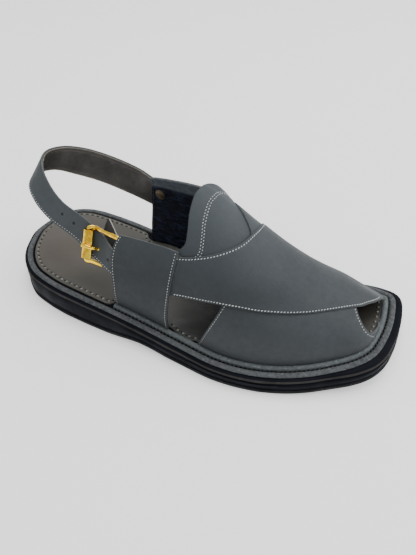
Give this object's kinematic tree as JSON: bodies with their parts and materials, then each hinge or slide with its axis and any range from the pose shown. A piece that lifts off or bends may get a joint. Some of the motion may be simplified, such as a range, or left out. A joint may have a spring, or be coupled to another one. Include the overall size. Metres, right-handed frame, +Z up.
{
  "type": "peshawari chappal",
  "caption": "Closed-sole sandal with wide crossed leather bands over the foot, side quarters and a buckled back strap.",
  "frame": {"origin": "on the floor under the middle of the sole's outline", "axes": "+X from heel to toe, +Y to the shoe's medial (big toe) side, +Z up"},
  "size_m": [0.3051, 0.121, 0.1056],
  "materials": {
    "outsole": "fine matt tread rubber",
    "midsole": "smooth black sole edge",
    "welt": "brushed grey leather",
    "toe_bead": "rolled grey leather",
    "insole": "smooth taupe leather",
    "upper": "fine-grained slate grey leather",
    "back_strap": "fine-grained slate grey leather",
    "buckle_frame": "polished gold colour",
    "buckle_roller": "polished gold colour",
    "buckle_prong": "polished gold colour",
    "rivet": "dull bronze",
    "buckle_guard": "dark leather"
  },
  "bodies": {
    "root": {"outsole": "outsole", "midsole": "midsole", "welt": "welt", "toe_bead": "toe_bead", "insole": "insole", "upper": "upper", "back_strap": "back_strap", "buckle_frame": "buckle_frame", "buckle_roller": "buckle_roller", "buckle_prong": "buckle_prong", "rivet": "rivet", "buckle_guard": "buckle_guard"}
  },
  "joints": []
}
